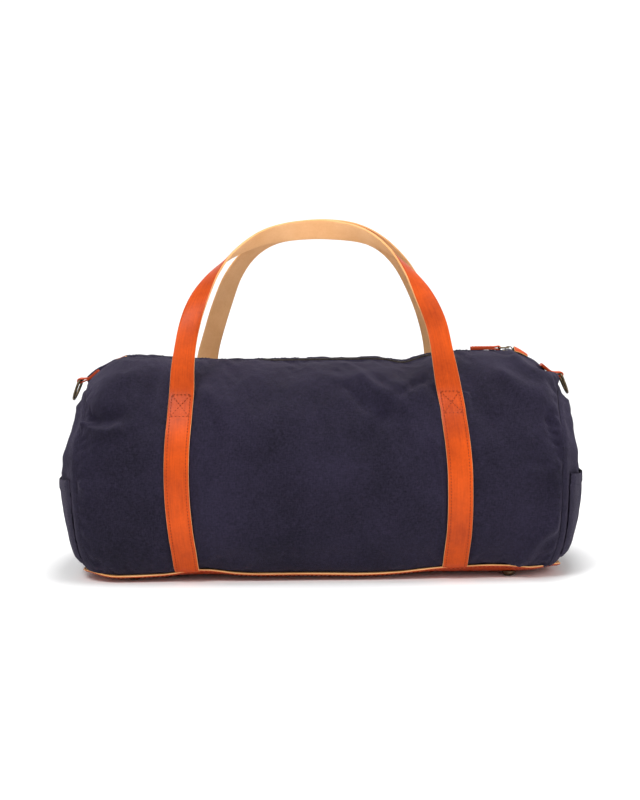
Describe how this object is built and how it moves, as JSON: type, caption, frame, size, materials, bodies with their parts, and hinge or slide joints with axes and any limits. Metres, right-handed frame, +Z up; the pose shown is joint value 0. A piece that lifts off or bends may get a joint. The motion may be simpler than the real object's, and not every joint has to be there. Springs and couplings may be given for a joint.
{
  "type": "weekender bag",
  "caption": "Canvas duffel-shaped weekender with leather straps, twin handles, top zip, end slip pockets, D-rings and a footed leather base.",
  "frame": {"origin": "on the floor under the middle of the bag, which stands on its four feet", "axes": "+X along the bag's length towards the end where the closed zip's slider sits, -Y the front, +Z up"},
  "size_m": [0.5624, 0.2576, 0.3704],
  "materials": {
    "canvas": "navy cotton canvas, matt plain weave",
    "leather": "cognac vegetable-tanned leather, satin, light raw edges",
    "antique_brass": "dark antique brass",
    "zip_tape": "near-black woven tape",
    "lining": "plain cotton lining, matt",
    "board": "fibreboard stiffener, matt"
  },
  "bodies": {
    "bag": {"front_panel": "canvas", "rear_panel": "canvas", "left_end_panel": "canvas", "right_end_panel": "canvas", "left_end_pocket": "canvas", "right_end_pocket": "canvas", "lining": "lining", "base_leather": "leather", "base_board": "board", "foot_front_left": "antique_brass", "foot_front_right": "antique_brass", "foot_rear_left": "antique_brass", "foot_rear_right": "antique_brass", "foot_washer_front_left": "antique_brass", "foot_washer_front_right": "antique_brass", "foot_washer_rear_left": "antique_brass", "foot_washer_rear_right": "antique_brass", "front_left_strap": "leather", "front_right_strap": "leather", "rear_left_strap": "leather", "rear_right_strap": "leather", "zip_tape_front_left": "zip_tape", "zip_tape_front_right": "zip_tape", "zip_tape_rear_left": "zip_tape", "zip_tape_rear_right": "zip_tape", "zip_teeth_front_left": "antique_brass", "zip_teeth_front_right": "antique_brass", "zip_teeth_rear_left": "antique_brass", "zip_teeth_rear_right": "antique_brass", "zip_end_tab_left": "leather", "zip_end_tab_right": "leather", "d_ring_tab_left": "leather", "d_ring_tab_right": "leather"},
    "front_lip": {"mouth_lip_front": "canvas", "zip_tape_front_mid": "zip_tape", "zip_teeth_front_mid": "antique_brass"},
    "rear_lip": {"mouth_lip_rear": "canvas", "zip_tape_rear_mid": "zip_tape", "zip_teeth_rear_mid": "antique_brass"},
    "slider": {"zip_slider": "antique_brass"},
    "pull": {"zip_pull_ring": "antique_brass", "zip_pull_leather": "leather"},
    "ring_left": {"d_ring_left": "antique_brass"},
    "ring_right": {"d_ring_right": "antique_brass"},
    "handle_front": {"front_handle": "leather"},
    "handle_rear": {"rear_handle": "leather"}
  },
  "joints": [
    {"name": "zip_slide", "type": "slide", "parent": "bag", "child": "slider", "axis": [-1, 0, 0], "range_m": [0, 0.4]},
    {"name": "front_lip_hinge", "type": "hinge", "parent": "bag", "child": "front_lip", "pos_m": [0, -0.08996, 0.19189], "axis": [1, 0, 0], "range_deg": [0, 50.5]},
    {"name": "rear_lip_hinge", "type": "hinge", "parent": "bag", "child": "rear_lip", "pos_m": [0, 0.08996, 0.19189], "axis": [-1, 0, 0], "range_deg": [0, 50.5]},
    {"name": "zip_pull_hinge", "type": "hinge", "parent": "slider", "child": "pull", "pos_m": [0.203, 0, 0.2296], "axis": [0, 1, 0], "range_deg": [0, 150]},
    {"name": "left_ring_hinge", "type": "hinge", "parent": "bag", "child": "ring_left", "pos_m": [-0.2575, 0, 0.2005], "axis": [0, 1, 0], "range_deg": [0, 120]},
    {"name": "right_ring_hinge", "type": "hinge", "parent": "bag", "child": "ring_right", "pos_m": [0.2575, 0, 0.2005], "axis": [0, -1, 0], "range_deg": [0, 120]},
    {"name": "front_handle_hinge", "type": "hinge", "parent": "bag", "child": "handle_front", "pos_m": [0, -0.0975, 0.1926], "axis": [1, 0, 0], "range_deg": [0, 140]},
    {"name": "rear_handle_hinge", "type": "hinge", "parent": "bag", "child": "handle_rear", "pos_m": [0, 0.0975, 0.1926], "axis": [-1, 0, 0], "range_deg": [0, 140]}
  ],
  "couplings": [
    {"joint": "front_lip_hinge", "follows": "zip_slide", "rad_per_m": 2.2},
    {"joint": "rear_lip_hinge", "follows": "zip_slide", "rad_per_m": 2.2}
  ]
}
